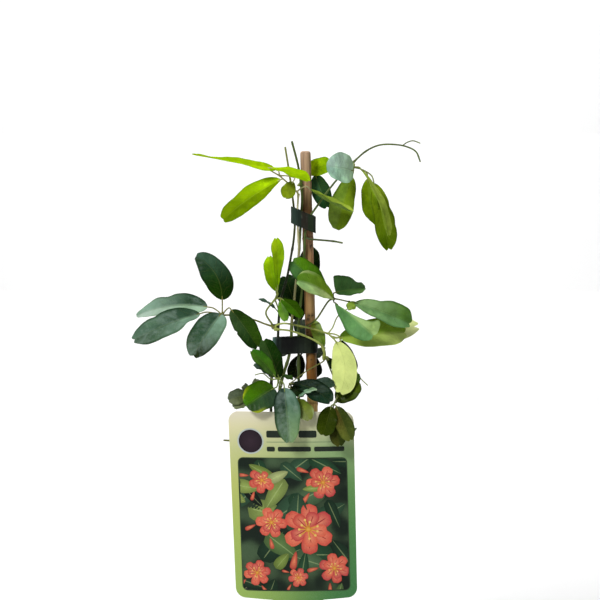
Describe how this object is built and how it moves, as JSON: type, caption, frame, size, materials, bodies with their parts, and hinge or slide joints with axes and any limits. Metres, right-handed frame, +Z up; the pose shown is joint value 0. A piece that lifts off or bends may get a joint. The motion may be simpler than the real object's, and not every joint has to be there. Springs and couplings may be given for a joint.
{
  "type": "potted climbing vine",
  "caption": "Young climbing plant tied by plastic bands to a bamboo cane in a round nursery pot, with stalked fingered leaves and a picture label on a spike.",
  "frame": {"origin": "centre of the pot's flat base, on the surface it stands on", "axes": "+Z up along the plant's length, -Y the front that the label faces, +X to the right seen from the front"},
  "size_m": [0.2532, 0.1638, 0.5681],
  "materials": {
    "pot_plastic": "matte black-grey moulded plastic",
    "compost": "rough crumbly compost",
    "bamboo": "dry satin bamboo",
    "printed_plastic": "satin printed sheet",
    "band_plastic": "satin dark green strap",
    "vine_stem": "smooth green-brown bark",
    "young_shoot": "smooth young bark",
    "mature_leaf": "glossy dark green leaf",
    "young_leaf": "soft satin bright green leaf",
    "pale_leaf": "matte pale leaf underside"
  },
  "bodies": {
    "root": {"nursery_pot": "pot_plastic", "potting_soil": "compost", "bamboo_cane": "bamboo", "plant_label": "printed_plastic", "tie_band_upper": "band_plastic", "tie_band_lower": "band_plastic", "stem_main": "vine_stem", "stem_left": "vine_stem", "stem_right": "vine_stem", "shoot_middle": "young_shoot", "leaf_top": "young_leaf", "leaf_top_back": "young_leaf", "leaf_top_right": "young_leaf", "leaf_left": "mature_leaf", "leaf_middle": "young_leaf", "leaf_shaded": "mature_leaf", "leaf_right_upper": "mature_leaf", "leaf_right_middle": "pale_leaf", "leaf_olive": "young_leaf", "leaf_small_dark": "mature_leaf", "leaf_front_right": "mature_leaf", "leaf_front_left": "mature_leaf", "leaf_low_left": "mature_leaf", "leaf_low_middle": "mature_leaf", "leaf_low_back": "mature_leaf", "leaf_back_left": "mature_leaf", "leaf_back_right": "mature_leaf", "leaf_back_upper": "young_leaf"}
  },
  "joints": []
}
